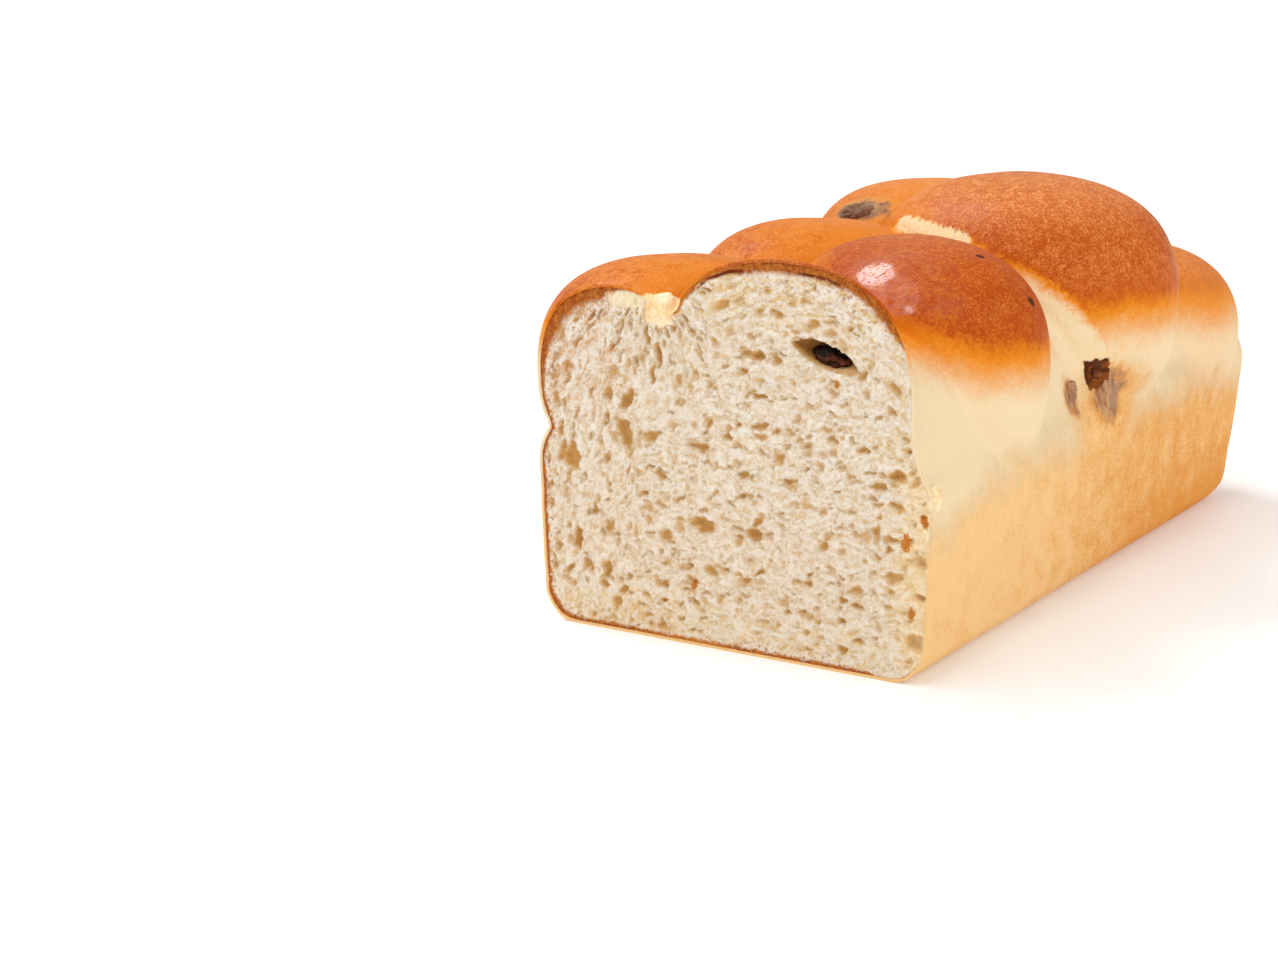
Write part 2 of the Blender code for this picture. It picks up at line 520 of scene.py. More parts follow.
def add_box(name, low, high):
    low, high = Vector(low) * MM, Vector(high) * MM
    box = add_mesh(bpy.ops.mesh.primitive_cube_add, name, size=1)
    box.data.transform(Matrix.Translation((low + high) / 2) @ Matrix.Diagonal((*(high - low), 1)))
    return box


def round_edges(obj, radius, is_wanted):
    """Bevels the edges whose middle, in millimetres, is wanted."""
    with editing(obj, "EDGE") as mesh:
        for edge in mesh.edges:
            edge.select_set(is_wanted((edge.verts[0].co + edge.verts[1].co) / 2 / MM))
        bpy.ops.mesh.bevel(offset=radius * MM, segments=BEVEL_STEPS, affect="EDGES")


def add_wall_block():
    end = END_Y + MELTS_BACK
    block = add_box("block", (-WALL_WIDTH / 2, CUT_Y - PAST_CUT, 0), (WALL_WIDTH / 2, end, WALL_TOP))
    for vertex in block.data.vertices:
        if vertex.co.z < MM:
            vertex.co.x *= WALL_TAPER
            vertex.co.y -= END_SLOPE * MM if vertex.co.y > 0 else 0
    round_edges(block, END_CORNER, lambda m: m.y > END_Y - END_SLOPE and abs(m.x) > 30 and 5 < m.z < 50)
    round_edges(block, FOOT_CORNER, lambda m: m.z < 1)
    round_edges(block, RIM_CORNER, lambda m: m.z > WALL_TOP - 1)
    return block


def add_fill():
    half = FILL_BASE_WIDTH / 2
    fill = add_box("fill", (-half, CUT_Y - PAST_CUT, FILL_BASE), (half, END_Y - FILL_END_GAP, FILL_TOP))
    for vertex in fill.data.vertices:
        if vertex.co.z > FILL_BASE * MM + MM:
            vertex.co.x *= FILL_TOP_WIDTH / FILL_BASE_WIDTH
    round_edges(fill, FILL_CORNER, lambda m: m.z > FILL_TOP - 1)
    return fill


def place_of(middle, half_sizes, turn):
    """Where a unit ball goes, given its turn about X, Y and Z in degrees."""
    x, y, z = (math.radians(angle) for angle in turn)
    rotation = Matrix.Rotation(z, 4, "Z") @ Matrix.Rotation(y, 4, "Y") @ Matrix.Rotation(x, 4, "X")
    scale = Matrix.Diagonal((*(Vector(half_sizes) * MM), 1))
    return Matrix.Translation(Vector(middle) * MM) @ rotation @ scale


def add_ball(name, subdivisions, *shape):
    ball = add_mesh(bpy.ops.mesh.primitive_ico_sphere_add, name, subdivisions=subdivisions, radius=1)
    ball.data.transform(place_of(*shape))
    return ball


def add_lobe(name, middle, half_sizes, yaw):
    lobe = add_mesh(bpy.ops.mesh.primitive_uv_sphere_add, name, segments=96, ring_count=48, radius=1)
    for vertex in lobe.data.vertices:
        vertex.co /= sum(abs(part) ** FULLNESS for part in vertex.co) ** (1 / FULLNESS)
    lobe.data.transform(place_of(middle, half_sizes, (0, 0, yaw)))
    return lobe


def melt_together(dough, looks):
    """Makes one skin of the overlapping lumps and softens the creases between them."""
    skin = dough.modifiers.new("skin", "REMESH")
    skin.mode = "VOXEL"
    skin.voxel_size = looks.voxel
    melt = dough.modifiers.new("melt", "SMOOTH")
    melt.factor = 0.5
    melt.iterations = looks.melt
    apply_modifiers(dough)


def blurred(tree, vector, rounds):
    """The mean of a vector over the skin around each point: more rounds reach further."""
    sockets = {"Value": vector, "Iterations": rounds}
    return tree.node("GeometryNodeBlurAttribute", {"data_type": "FLOAT_VECTOR"}, sockets, "Value")


def sunkenness(tree, position, normal, rounds):
    """How far each point lies below the skin around it, in millimetres: above 0 in a crease."""
    way = tree.vector("SUBTRACT", blurred(tree, position, rounds), position)
    return tree.vector("DOT_PRODUCT", way, normal, "Value") / MM


def shape_crust(tree, geometry):
    """Gives the skin its low bumps, and stores what the material reads."""
    place, _, _, z = millimetres(tree)
    normal = tree.node("GeometryNodeInputNormal")
    position = tree.node("GeometryNodeInputPosition")
    sunk = {name: sunkenness(tree, position, normal, rounds) for name, rounds in BLUR_ROUNDS.items()}
    geometry = keep_values(tree, geometry, sunk)
    lumps = tree.noise(place, 26, 1) - 0.75
    dents = (tree.noise(place, 9, 2) - 0.8) * tree.ease(z, 58, 46)
    pinch = tree.ease(sunk["crease"], 0.05, 0.5) * tree.ease(z, 60, 72)
    relief = lumps + dents * 0.7 - pinch * CREASE_DEPTH
    off_base = tree.ease(z, 0.2, 3)
    return move(tree, geometry, tree.scale(normal, relief * off_base * MM))


def hold_in_box(obj, behind_cut=0.0):
    """Keeps every point inside the loaf's own box, and this far behind the cut."""
    lowest = (LOW + Vector((0, behind_cut, 0))) * MM
    highest = HIGH * MM
    for vertex in obj.data.vertices:
        vertex.co = [min(max(c, low), high) for c, low, high in zip(vertex.co, lowest, highest)]


def select_cut(mesh):
    """Selects the cut face, which has the most corners."""
    max(mesh.faces, key=lambda face: len(face.verts)).select_set(True)


def cut_end(crust, looks, depth):
    """Slices the end off, sinks the cut face behind a thin edge, and returns its outline."""
    with editing(crust):
        bpy.ops.mesh.select_all(action="SELECT")
        bpy.ops.mesh.bisect(plane_co=(0, CUT_Y * MM, 0), plane_no=(0, 1, 0), use_fill=True, clear_inner=True)
        bpy.ops.mesh.select_all(action="DESELECT")
        select_cut(bmesh.from_edit_mesh(crust.data))
        bpy.ops.mesh.inset(thickness=looks.skin)
        bpy.ops.mesh.duplicate()
        bpy.ops.mesh.separate(type="SELECTED")
    outline = next(obj for obj in bpy.context.selected_objects if obj is not crust)
    outline.name = "cut_outline"
    with editing(crust) as mesh:
        select_cut(mesh)
        sink_face(depth)
    return outline


def sink_face(depth):
    """Pushes the selected cut face into the loaf, straight at its rim and then narrowing."""
    bpy.ops.mesh.extrude_region_move(TRANSFORM_OT_translate={"value": (0, RIM_DEPTH * MM, 0)})
    bpy.ops.mesh.extrude_region_move(TRANSFORM_OT_translate={"value": (0, depth - RIM_DEPTH * MM, 0)})
    bpy.ops.transform.resize(value=(BACK_SHARE, 1, BACK_SHARE))


def crust_material(looks):
    """Browned tops, pale creases, tin-baked sides, torn dough, covered raisins, and a glaze."""
    material, tree, shader = new_material("baked_crust", 0.42, 0.06)
    shader.inputs["Coat Roughness"].default_value = 0.15
    place = object_place(tree)[0]
    patchy = tree.noise(place, 15, 2, 0.5) - 0.5
    speckle = tree.ease(tree.noise(place, 0.55, 2, 0.8, 0.6), 0.34, 0.66) - 0.5
    flecks = tree.ease(tree.noise(place, 2.8, 3, 0.7, 0.8), 0.36, 0.64) - 0.5
    height, exposed = browning(tree, place, patchy, speckle, flecks)
    colour = browned_colour(tree, place, looks, height, exposed, speckle, flecks)
    colour = show_torn_strip(tree, place, colour, looks)
    tin, streaks, strained = tin_side(tree, place, patchy, speckle)
    warmed = strained * tree.ease(streaks + flecks * 0.15, -0.05, 0.12) * 0.8
    sides = tin_colour(tree, place, looks, speckle)
    colour = tree.layers(colour, (looks.tin, warmed), (sides, tin))
    colour = show_raisins(tree, place, colour, looks)
    torn = tree.ease(tree.shell(place, *TORN_RIM) + patchy * 0.5 + flecks * 0.2, 1.05, 0.85)
    colour = tree.tint(colour, looks.torn, torn)
    rough = tree.noise(place, 2.5, 3, 0.6) * 0.25 + 0.3 + tree.ease(height, 4, -10) * 0.28
    link(tree, rough, shader.inputs["Roughness"])
    glossy = tree.ease(tree.shell(place, *GLAZED), 1.2, 0.6)
    glaze = tree.noise(place, 1.7, 4, 0.65, 0.5) + speckle * 0.3 + glossy * 0.09
    glaze = tree.ease(glaze, 0.45, 0.6) * tree.ease(height, 2, 9) * (glossy * 0.9 + 0.1)
    link(tree, glaze, shader.inputs["Coat Weight"])
    pimples = tree.noise(place, 0.9, 2, 0.6) + tree.noise(place, 2.8, 2, 0.5) * 1.2 + streaks * tin * 0.5
    pimples = pimples + tree.noise(place, 4.5, 3, 0.55) * tin * 2.5
    surface(tree, shader, colour, pimples, 0.3, 0.7)
    return material


def browned_colour(tree, place, looks, height, exposed, speckle, flecks):
    """From pale sides through gold and russet to brown tops, with fine light specks, and painted sheen on
    the crests and on the tops of the left strands.
    """
    x, y, z = tree.split(place)
    last = tree.ease(y, 40, 62) * tree.ease(x, -12, 6)
    beyond_second = tree.ease(y, -50, -15)
    russet = tree.ease(height, -4, 3) * (0.5 + exposed * 0.5) * (1 - last * 0.4)
    dark = tree.ease(height, -1, 5) * exposed * (0.75 + speckle * 0.9 + flecks * 0.5) * (1 - last * 0.5)
    scorched = tree.ease(tree.noise(place, 5, 4, 0.65, 0.6), 0.46, 0.6) * tree.ease(height, 4, 14) * last
    specks = tree.ease(flecks * -0.35 - speckle * 0.9, -0.1, 0.6) * tree.ease(height, 0, 8)
    # More light specks on the crests, from the second strand on and on the left strands: painted sheen
    lighter = tree.larger(beyond_second * 0.3 + tree.ease(z, 95, 106) * 0.5, tree.ease(x, -10, -26) * 0.35)
    return tree.layers(
        looks.pale,
        (looks.golden, tree.ease(height, -16, -1)),
        (looks.russet, russet),
        (looks.brown, dark * (1 - beyond_second * 0.35)),
        (looks.brown, scorched * 0.5),
        (looks.speck_and_sheen, specks * (0.18 + lighter + last * 0.2)),
        # The crests lighter as painted sheen, and the far strand a little lighter
        (looks.speck_and_sheen, tree.ease(z, 94, 106) * 0.2 + last * 0.15),
    )


def show_torn_strip(tree, place, colour, looks):
    """Draws the slanted pale fibres where two strands tore apart."""
    x, y, z = tree.split(place)
    shreds = tree.noise(tree.join(x + y * 0.5, y - x * 0.5, z * 0.3), 1.2, 3, 0.6) - 0.5
    strip = tree.ease(tree.from_line(place, *TORN_STRIP) + shreds * 4, 3.0, 1.6)
    pale, golden = tree.ease(shreds, -0.1, 0.1), tree.ease(shreds, 0.1, 0.2) * 0.7
    fibres = tree.layers(looks.torn, (looks.pale, pale), (looks.golden, golden))
    return tree.tint(colour, fibres, strip)


def browning(tree, place, patchy, speckle, flecks):
    """How far a point is above the pale sides, in millimetres, and how much top heat met it."""
    x, y, z = tree.split(place)
    brown_from = BROWN_FROM + tree.ease(y, -60, -30) * 2 - tree.ease(y, *BROWN_DROP_RANGE) * BROWN_DROP
    behind_first = tree.ease(y, -90, -70)
    right = tree.ease(x, -14, 12)
    shade = tree.ease(stored(tree, "valley"), 0.2, 2.6) * (right * behind_first * 8 + 3)
    shade = shade + tree.ease(stored(tree, "crease"), 0.2, 0.6) * behind_first * 9
    shade = shade + tree.ease(y, -88, -112) * 4 + tree.ease(y, -78, -118) * tree.ease(x, 20, 42) * 7
    late = reduce(tree.smaller, (tree.from_line(place, *ends) for ends in zip(LATE_CREASE, LATE_CREASE[1:])))
    shade = tree.larger(shade, 24 - (late + patchy * 2 + flecks) * 3)
    height = z - brown_from + patchy * 4 + flecks * 1.6 + speckle * 1.6 - shade
    return height, tree.ease(right * 2.6 - stored(tree, "swell") + patchy * 3 + flecks * 0.8, 1.4, 5.0)


def tin_side(tree, place, patchy, speckle):
    """Where the tin baked the sides, its upright streaks, and where raisins strain the skin."""
    x, y, z = tree.split(place)
    streaks = tree.noise(tree.join(x, y, z * 0.25), 1.6, 3, 0.6) - 0.5
    edge = z - 46 + tree.ease(y, 50, 110) * 8 + tree.ease(y, -90, -115) * 7
    strained = tree.ease(tree.shell(place, *STRAINED), 1.3, 0.4)
    edge = edge - strained * 14 + patchy * 13 + streaks * (strained * 16 + 11) + speckle * 4
    return tree.ease(edge, 7, -9), streaks, strained


def tin_colour(tree, place, looks, speckle):
    """The mottled gold of the sides, deeper towards the far end and its foot."""
    _, y, z = tree.split(place)
    deep = tree.ease(y, -90, 20) * 0.65 + (tree.noise(place, 8, 3, 0.6) - 0.5) * 1.5 + speckle * 0.7 + 0.1
    deep = deep + tree.ease(z, 26, 0) * tree.ease(y, -20, 60) * 0.6 - z * 0.002
    return tree.tint(looks.tin, looks.tin_deep, tree.ease(deep, 0, 1.2))


def film_over_raisin(tree, place, dark, light):
    """Streaky dough film with a raisin showing through it."""
    fibres = tree.noise(tree.vector("MULTIPLY", place, (1, 1, 0.22)), 0.9, 4, 0.7)
    return tree.tint(light, dark, tree.ease(fibres + tree.noise(place, 5, 1) * 0.5, 0.54, 0.94))


def show_raisins(tree, place, colour, looks):
    """Darkens the dough film over the raisins just under the skin, and draws its torn window."""
    ragged = tree.noise(place, 2.4, 3, 0.6) - 0.5
    film = film_over_raisin(tree, place, looks.film_dark, looks.film)
    dark = tree.ease(tree.split(place)[2], *DARK_FILM_RANGE) * DARK_FILM
    stained = tree.ease(tree.noise(place, 3.5, 3, 0.6), 0.5, 0.62) * 0.6
    film = tree.layers(film, (looks.window, dark), (looks.tin_deep, stained))
    for middle, half_sizes in FILMS:
        out = tree.shell(place, middle, half_sizes)
        rim, over = tree.ease(out + ragged, 1.5, 0.9) * 0.7, tree.ease(out + ragged * 0.9, 1.2, 0.7)
        colour = tree.layers(colour, (looks.tin_deep, rim), (film, over))
    middle, (half_along, half_up) = WINDOW
    _, along, up = tree.split(tree.vector("SUBTRACT", place, middle))
    out = tree.larger(abs((along + up * 0.3) / half_along), abs(up / half_up))
    amber = tree.ease(tree.noise(place, 2, 3) + (along - up) * 0.04, 0.42, 0.62)
    window_colour = tree.tint(looks.window, looks.window_light, amber)
    colour = tree.tint(colour, window_colour, tree.ease(out + ragged * 0.7, 1.05, 0.92))
    for middle, size in SPOTS:
        spot = tree.ease(tree.shell(place, middle, (size, size, size)) + ragged, 1.1, 0.7)
        colour = tree.tint(colour, looks.window, spot)
    return colour


class LOAF_OT_crust(bpy.types.Operator):
    """Plait, melt and slice the dough, and bake its crust"""

    bl_idname = "loaf.crust"
    bl_label = "Crust"

    def execute(self, context):
        looks = context.scene.crust_looks
        lumps = [add_wall_block(), add_fill()]
        lumps += [add_lobe(name, *shape) for name, shape in LOBES.items()]
        pick(*lumps)
        bpy.ops.object.join()
        crust = lumps[0]
        crust.name = "crust"
        melt_together(crust, looks)
        shape_by_nodes(crust, shape_crust)
        outline = cut_end(crust, looks, context.scene.crumb_looks.depth)
        outline.hide_render = True
        hold_in_box(crust)
        coat(crust, crust_material(looks))
        crust.data.set_sharp_from_angle(angle=math.radians(SHARP_ANGLE))
        settle(crust, "crust", "loaf")
        return {"FINISHED"}


def web_pores(tree, place, size, deep):
    """Small hollows side by side with thin walls between them, in millimetres."""
    wall = tree.cells(place, size, "DISTANCE_TO_EDGE")
    return tree.ease(wall, 0, 0.4) * (tree.cells(place, size) * 0.6 + 0.4) * deep


def round_pores(tree, place, size, least, deep):
    """Round hollows, in millimetres. Cells that draw less than least stay shut."""
    draw = tree.ease(tree.cells(place, size), least, 1.0)
    hole = tree.ease(tree.cells(place, size, "F1") + (1 - draw) * 0.3, 0.54, 0.2)
    return hole * tree.ease(draw, 0, 0.3) * deep


def pore_layers(tree, place, looks):
    """How deep the crumb is open, in millimetres: a fine web and three sizes of round pores."""
    usual = looks.pore_size / MM
    depth = web_pores(tree, place, usual * 0.5, 0.5)
    for size, least, deep in ((0.8, 0.2, 0.9), (1.15, 0.3, 1.4), (1.9, 0.78, 2.4)):
        depth = tree.larger(depth, round_pores(tree, place, usual * size, least, deep))
    return depth


def lays_of_crumb(tree, place, x, z):
    """The cut plane bent as the dough was stretched, each way with its share here.

    The ways: as it lies, along the first strand's arch and the walls, and down from the notch.
    """
    far_x, far_z = tree.wander(place, 7, 6)
    near_x, near_z = tree.wander(place, 1.8, 2.0)
    u, v = x + far_x, z + far_z
    across, up = u - ARCH_MIDDLE[0], v - ARCH_MIDDLE[1]
    above, below = tree.larger(up, 0), tree.smaller(up, 0)
    radius = tree.maths("SQRT", across * across + above * above)
    turn = tree.maths("ARCTAN2", across, above)
    arch_u = turn * 24 - tree.maths("SIGN", across) * below * 0.7
    in_arch = tree.ease(radius, ARCH_FROM, ARCH_FROM + 14)
    down_u, down_v = u - NOTCH[0], NOTCH[1] - v
    reach = tree.maths("SQRT", down_u * down_u + down_v * down_v)
    sweep = tree.maths("ARCTAN2", down_u, down_v)
    in_fan = tree.ease(reach, NOTCH_REACH, NOTCH_REACH - 26) * tree.ease(x, 4, -12) * tree.ease(x, -48, -36)
    ways = (
        (u * 0.62, v, (1 - in_arch) * (1 - in_fan)),
        (arch_u, radius, in_arch * (1 - in_fan)),
        (sweep * 34, reach * 0.55, in_fan),
    )
    lays = []
    for index, (along, out, share) in enumerate(ways):
        lays.append((tree.join(along + near_x, index * WAYS_APART, out + near_z), share))
    return lays


def crust_band(tree, x, z):
    """How thick the browned edge of the crumb is here, in millimetres."""
    left_top = tree.ease(z, 62, 80) * tree.ease(x, -27, -31) * 3.6
    arch = tree.ease(z, 80, 88) * (tree.ease(x, -19, -16) * 0.9 + tree.ease(x, -6, 6) * 1.7)
    foot = tree.ease(z, 10, 4) * tree.ease(x, 46, 34) * 0.9
    left_side = tree.ease(x, -42, -52) * tree.ease(z, 80, 62) * 0.8
    return left_top + arch + foot + left_side


def fissure_under_crust(tree, place, x, z, rim, band):
    """Where a fissure runs between the crust and the crumb, from 0 to 1. Its dark red-brown is the crust's
    underside with painted shade of the gap.
    """
    runs = tree.ease(x, -13, -8) * tree.ease(x, 7, 3) + tree.ease(x, 14, 18) * tree.ease(x, 32, 28)
    away = rim - band * 0.85 - (tree.noise(place, 5, 2) - 0.5) * 1.2
    ragged = tree.ease(tree.noise(place, 2.2, 3, 0.7), 0.34, 0.52)
    return tree.ease(abs(away), 0.75, 0.1) * runs * ragged * tree.ease(z, 80, 86)


def shape_crumb(outline, looks):
    """Opens the pores in the cut face, and stores what the material reads."""

    def build(tree, geometry):
        place, x, y, z = millimetres(tree)
        settings = {"transform_space": "ORIGINAL"}
        target = tree.node("GeometryNodeObjectInfo", settings, {"Object": outline}, "Geometry")
        settings = {"target_element": "EDGES"}
        rim = tree.node("GeometryNodeProximity", settings, {0: target}, "Distance") / MM
        front = tree.ease(y, CUT_Y + 0.2, CUT_Y + 0.1)
        band = crust_band(tree, x, z)
        dense = tree.ease(rim, band * 0.9 + 0.2, band * 1.4 + 1.5)
        depth, mottle = 0, 0
        for lay, share in lays_of_crumb(tree, place, x, z):
            depth = tree.larger(pore_layers(tree, lay, looks) * tree.ease(share, 0.15, 0.75), depth)
            long_lay = tree.vector("MULTIPLY", lay, (0.55, 1, 1))
            mottle = mottle + (tree.noise(long_lay, 1.5, 2, 0.6) - 0.5) * share
        depth = depth * (dense * 0.7 + 0.3) + tree.noise(place, 0.8, 3, 0.7) * 0.45
        fissure = fissure_under_crust(tree, place, x, z, rim, band)
        cavity = hollow(tree, place, x, z)[0]
        # How deep each point lies, which the material paints as shade
        pore = tree.larger(depth, tree.ease(cavity, 0, 2.5) * 4) * front
        values = {"pore": pore, "rim": rim, "band": band, "fissure": fissure * front, "mottle": mottle}
        geometry = keep_values(tree, geometry, values)
        sunk = tree.smaller(tree.larger(depth + 0.1 + fissure * 0.9, cavity), MOST_SUNK) * front
        return move(tree, geometry, tree.join(0.0, sunk * MM, 0.0))

    return build


def hollow(tree, place, x, z):
    """The ragged hollow round the raisin in the cut, shallower below and to the right.

    Gives its depth in millimetres, and how much of a place lies on its pale lower shelf.
    """
    (middle_x, _, middle_z), (half_x, deep, half_z), turn = CAVITY
    cos, sin = math.cos(math.radians(turn)), math.sin(math.radians(turn))
    along = ((x - middle_x) * cos - (z - middle_z) * sin) / half_x
    up = ((x - middle_x) * sin + (z - middle_z) * cos) / half_z
    shelf = tree.ease(along * 0.8 - up, 0.1, 0.9)
    up = tree.larger(up, up * -1.35)
    inside = 0.95 - along * along - up * up + (tree.noise(place, 1.5, 3, 0.65) - 0.5) * 0.8
    return tree.maths("SQRT", tree.larger(inside, 0)) * (1 - shelf * 0.55) * deep, shelf


def crumb_material(looks):
    """Cream walls, pores and the raisin's hollow painted darker and warmer as painted shade, torn dough, and
    a browned edge.
    """
    material, tree, shader = new_material("open_crumb", 0.7, 0.1)
    place, x, _, z = object_place(tree)
    fine = tree.noise(place, 0.7, 3, 0.7) - 0.5
    broad = tree.noise(place, 16, 2) - 0.5
    grain = tree.noise(place, 1.8, 3, 0.7) - 0.5
    threads = abs(tree.noise(place, 1.4, 4, 0.65, 0.6) - 0.5)
    # Thin bright threads of the walls: painted highlights, also used as bumps
    web = tree.larger(tree.ease(threads, 0.05, 0.0), tree.ease(fine, 0.06, 0.16) * 0.8)
    depth = stored(tree, "pore") + fine * 0.9
    mottle = tree.noise(place, 1.1, 2, 0.6) * 0.6 + stored(tree, "mottle") * 1.1 - 0.3
    cavity, shelf = hollow(tree, place, x, z)
    inside = tree.larger(tree.ease(depth, 2.4, 4), tree.ease(cavity, 0.5, 2.5))
    creamy = tree.ease(x + broad * 8 + grain * 5, 45, 53) * tree.ease(z, 58, 48)
    bare = tree.ease(tree.shell(place, *TORN_STREAK) + fine * 0.5, 1.1, 0.7)
    colour = tree.layers(
        looks.wall,
        # Painted shade in the pores, darker where they are deeper
        (pore_shade_colour(tree, x, z, looks, broad), tree.ease(depth + mottle, 0.05, 0.6)),
        # Painted highlights on the thin walls
        (looks.wall, web * 0.75),
        # Darker all over, and more towards the bottom
        (looks.hollow, tree.ease(z, 60, 20) * 0.12 + 0.07),
        # More painted shade in deep pores
        (looks.pore, tree.ease(depth, 0.6, 1.6) * 0.85),
        # Painted shade inside the raisin's hollow and the deepest pores, with the pale shelf below
        (tree.tint(looks.cavity_shade, looks.torn, shelf), inside),
        (tree.tint(looks.torn, looks.torn_light, tree.ease(mottle, 0.2, -0.2)), creamy * 0.65),
        (looks.torn_light, bare * 0.8),
    )
    colour = toast_edge(tree, x, colour, looks, fine, grain, bare)
    for middle, size in CRUMB_SPOTS:
        spot = tree.ease(tree.shell(place, middle, (size * 0.6, 9, size)) + fine * 2 + grain * 1.6, 1.1, 0.8)
        colour = tree.tint(colour, looks.toast_light, spot)
    # The fissure's painted shade
    colour = tree.tint(colour, looks.fissure, stored(tree, "fissure"))
    surface(tree, shader, colour, web * 0.8 + tree.noise(place, 0.5, 3, 0.7), 0.12, 0.6)
    return material


def pore_shade_colour(tree, x, z, looks, broad):
    """The painted shade of shallow pores: yellower near the crust, and pinker in the left strand."""
    edges = tree.larger(tree.ease(z + broad * 16, 78, 92), tree.ease(x + broad * 14, 38, 54))
    edges = tree.larger(edges, tree.ease(z + broad * 10, 16, 4))
    left = tree.ease(x + broad * 10, -28, -44) * tree.ease(z, 52, 66)
    return tree.layers(looks.hollow, (looks.hollow_warm, edges), (looks.hollow_pink, left))


def toast_edge(tree, x, colour, looks, fine, grain, bare):
    """Browns the crumb next to the crust, and strews brown grains beside it."""
    rim, band = stored(tree, "rim"), stored(tree, "band")
    toast = tree.ease(rim + grain * 3.4, band * 1.2 + 0.3, band * 0.7 - 0.1) * tree.ease(band, 0.05, 0.4)
    dust = tree.ease(grain + fine * 0.6, 0.02, 0.2) * tree.ease(rim, band * 5 + 0.5, band) * 0.7
    orange = tree.ease(x, 4, -6) * tree.ease(x, -24, -20)
    toasted = tree.tint(looks.toast_light, looks.toast, tree.ease(grain + fine - orange * 0.3, -0.25, 0.2))
    return tree.tint(colour, toasted, tree.larger(toast, dust) * (1 - bare))


def add_front_grid(looks):
    """A closed slab whose front is a fine grid in the cut plane."""
    margin = 2
    low = Vector((LOW.x - margin, CUT_Y, LOW.z - margin))
    high = Vector((HIGH.x + margin, CUT_Y, HIGH.z + margin))
    size = high - low
    step = looks.step / MM
    steps = {"x_subdivisions": round(size.x / step), "y_subdivisions": round(size.z / step)}
    slab = add_mesh(bpy.ops.mesh.primitive_grid_add, "crumb", size=1, **steps)
    upright = Matrix.Rotation(math.radians(90), 4, "X") @ Matrix.Diagonal((size.x * MM, size.z * MM, 1, 1))
    slab.data.transform(Matrix.Translation((low + high) / 2 * MM) @ upright)
    with editing(slab, "EDGE") as mesh:
        for edge in mesh.edges:
            edge.select_set(edge.is_boundary)
        bpy.ops.mesh.extrude_edges_move(TRANSFORM_OT_translate={"value": (0, looks.depth * 2, 0)})
        bpy.ops.mesh.edge_face_add()
        bpy.ops.mesh.select_all(action="SELECT")
        bpy.ops.mesh.normals_make_consistent(inside=False)
    return slab


def outline_prism(outline, depth):
    """A solid as wide as the cut's outline, standing through the cut plane."""
    pick(outline)
    bpy.ops.object.duplicate()
    prism = bpy.context.object
    prism.name = "outline_prism"
    with editing(prism):
        bpy.ops.mesh.select_all(action="SELECT")
        bpy.ops.transform.translate(value=(0, -MM, 0))
        bpy.ops.mesh.extrude_region_move(TRANSFORM_OT_translate={"value": (0, MM, 0)})
        sink_face(depth)
        bpy.ops.mesh.select_all(action="SELECT")
        bpy.ops.mesh.normals_make_consistent(inside=False)
    return prism


def shape_torn(tree, geometry):
    place = millimetres(tree)[0]
    shreds = tree.noise(tree.vector("MULTIPLY", place, (1, 1, 0.6)), 2.2, 3, 0.65) - 0.56
    normal = tree.node("GeometryNodeInputNormal")
    return move(tree, geometry, tree.scale(normal, shreds * 2.2 * MM))


def torn_material(looks):
    material, tree, shader = new_material("torn_crumb", 0.65)
    place = object_place(tree)[0]
    shreds = tree.noise(place, 1.3, 3, 0.7) + tree.noise(place, 5, 1)
    colour = tree.tint(looks.torn, looks.torn_light, tree.ease(shreds, 0.8, 1.1))
    surface(tree, shader, colour, tree.noise(place, 0.7, 3, 0.7), 0.2, 0.8)
    return material


def add_torn_lumps(looks):
    """Shreds of dough that stand out beside the cut."""
    lumps = [add_ball("torn_crumb", 5, *lump, (0, 0, 0)) for lump in TORN_LUMPS]
    pick(*lumps)
    bpy.ops.object.join()
    torn = lumps[0]
    shape_by_nodes(torn, shape_torn)
    hold_in_box(torn, TORN_BEHIND_CUT)
    coat(torn, torn_material(looks))
    return torn


class LOAF_OT_crumb(bpy.types.Operator):
    """Fill the cut with open crumb"""

    bl_idname = "loaf.crumb"
    bl_label = "Crumb"

    def execute(self, context):
        looks = context.scene.crumb_looks
        outline = bpy.data.objects["cut_outline"]
        crumb = add_front_grid(looks)
        boolean(crumb, "INTERSECT", outline_prism(outline, looks.depth - MM * GAP))
        shape_by_nodes(crumb, shape_crumb(outline, looks))
        bpy.data.objects.remove(outline, do_unlink=True)
        crumb.data.materials.clear()
        coat(crumb, crumb_material(looks))
        settle(crumb, "crumb")
        settle(add_torn_lumps(looks), "crumb")
        return {"FINISHED"}


def shape_raisin(seed):
    """Wrinkles a raisin, each one in its own way."""

    def build(tree, geometry):
        _, x, y, z = millimetres(tree)
        place = tree.join(x + seed * FOLDS_APART, y, z)
        normal = tree.node("GeometryNodeInputNormal")
        folds = abs(tree.noise(place, 4, 1, 0.4) - 0.5)
        creases = tree.ease(folds, 0.09, 0)
        inwards = (creases * 0.6 + tree.noise(place, 5) * 0.6) * -MM
        geometry = keep_values(tree, geometry, {"fold": creases})
        return move(tree, geometry, tree.scale(normal, inwards))

    return build


def raisin_material(name, dark, light, lit_below):
    """A wrinkled skin, with painted light shining through it between its folds and below this height."""
    material, tree, shader = new_material(name, 0.36, 0.1)
    place, _, _, z = object_place(tree)
    # Painted light shining through the skin: more of the amber below lit_below and between the folds
    shine = (lit_below - z) * 0.08
    thin = tree.ease(tree.noise(place, 2.5, 2) + shine, 0.4, 0.7) * (1 - stored(tree, "fold"))
    surface(tree, shader, tree.tint(dark, light, thin), tree.noise(place, 0.6, 3, 0.6), 0.15, 0.5)
    return material


